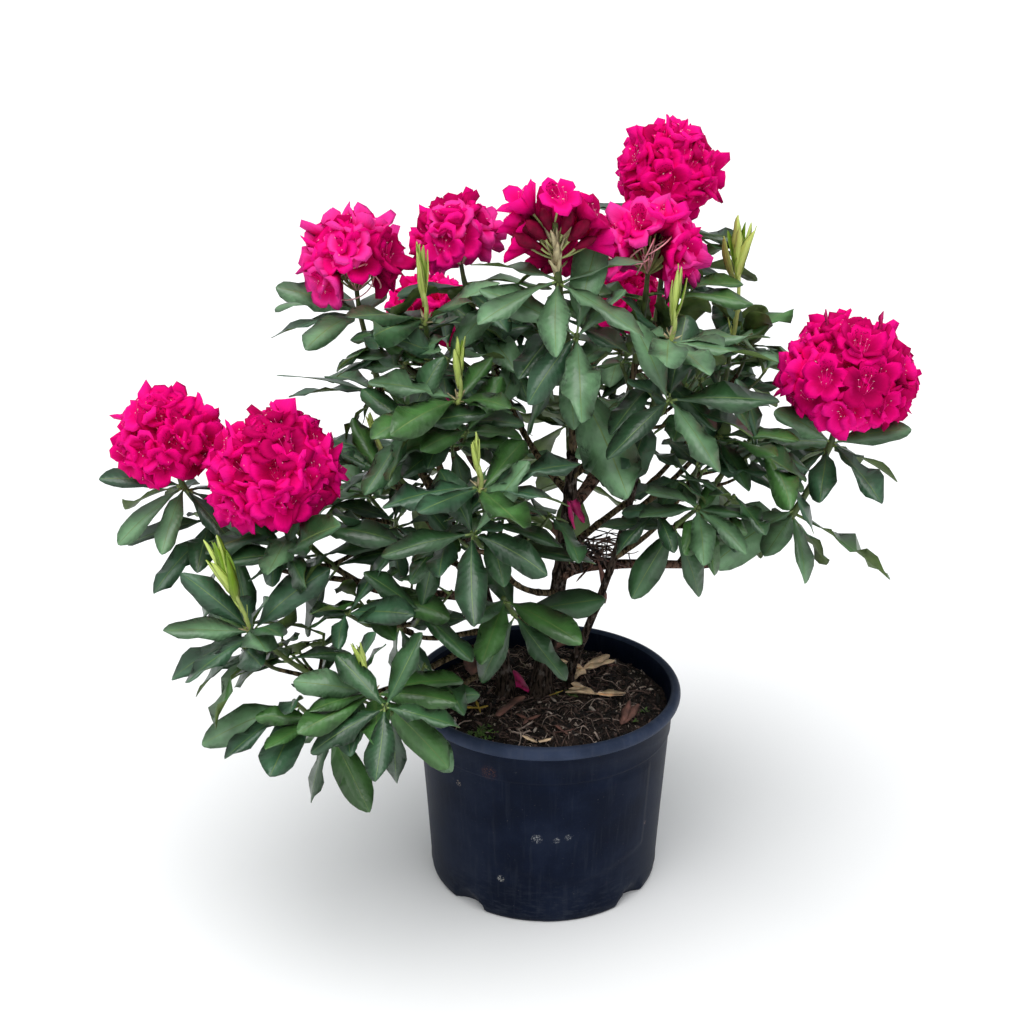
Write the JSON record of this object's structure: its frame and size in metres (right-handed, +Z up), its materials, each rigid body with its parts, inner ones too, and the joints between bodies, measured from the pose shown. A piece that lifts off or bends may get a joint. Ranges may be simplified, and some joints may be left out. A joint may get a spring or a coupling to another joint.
{
  "type": "potted rhododendron",
  "caption": "Flowering rhododendron shrub in a round nursery pot: stems, forking boughs, whorled leaves and domed flower heads.",
  "frame": {"origin": "centre of the pot's flat underside", "axes": "+Z up; -Y towards the side of the plant that is looked at from the front, with the tallest flower heads; +X to that viewer's right"},
  "size_m": [0.8634, 0.6849, 0.8682],
  "materials": {
    "pot_plastic": "dark blue-black moulded plastic, dusty and scuffed",
    "potting_soil": "dark loose peat and bark",
    "bark": "thin brown bark, olive on young wood",
    "foliage": "leathery dark green leaves with pale midribs; magenta-pink flowers"
  },
  "bodies": {
    "root": {"bough_back": "bark", "bough_back_left": "bark", "bough_back_right": "bark", "bough_far_left": "bark", "bough_front": "bark", "bough_front_low": "bark", "bough_inner_left": "bark", "bough_left": "bark", "bough_low_back": "bark", "bough_low_back_left": "bark", "bough_low_front": "bark", "bough_low_inner": "bark", "bough_low_left": "bark", "bough_low_left_front": "bark", "bough_low_right": "bark", "bough_mid_left": "bark", "bough_outer_left": "bark", "bough_right": "bark", "bough_right_low": "bark", "bough_right_mid": "bark", "bough_right_upper": "bark", "bough_tall_bud": "bark", "bough_top_right": "bark", "bough_upper_left": "bark", "bough_upper_left_bud": "bark", "bough_upper_mid": "bark", "foliage_back": "foliage", "foliage_back_left": "foliage", "foliage_back_right": "foliage", "foliage_centre": "foliage", "foliage_far_left": "foliage", "foliage_front": "foliage", "foliage_front_left": "foliage", "foliage_front_low": "foliage", "foliage_inner_left": "foliage", "foliage_left": "foliage", "foliage_low_back": "foliage", "foliage_low_back_left": "foliage", "foliage_low_front": "foliage", "foliage_low_inner": "foliage", "foliage_low_left": "foliage", "foliage_low_left_front": "foliage", "foliage_low_right": "foliage", "foliage_mid_left": "foliage", "foliage_outer_left": "foliage", "foliage_right": "foliage", "foliage_right_bud": "foliage", "foliage_right_low": "foliage", "foliage_right_mid": "foliage", "foliage_right_upper": "foliage", "foliage_tall_bud": "foliage", "foliage_top_right": "foliage", "foliage_upper_left": "foliage", "foliage_upper_left_bud": "foliage", "foliage_upper_mid": "foliage", "pot": "pot_plastic", "soil": "potting_soil", "stem_left": "bark", "stem_main": "bark", "stem_right": "bark"}
  },
  "joints": []
}
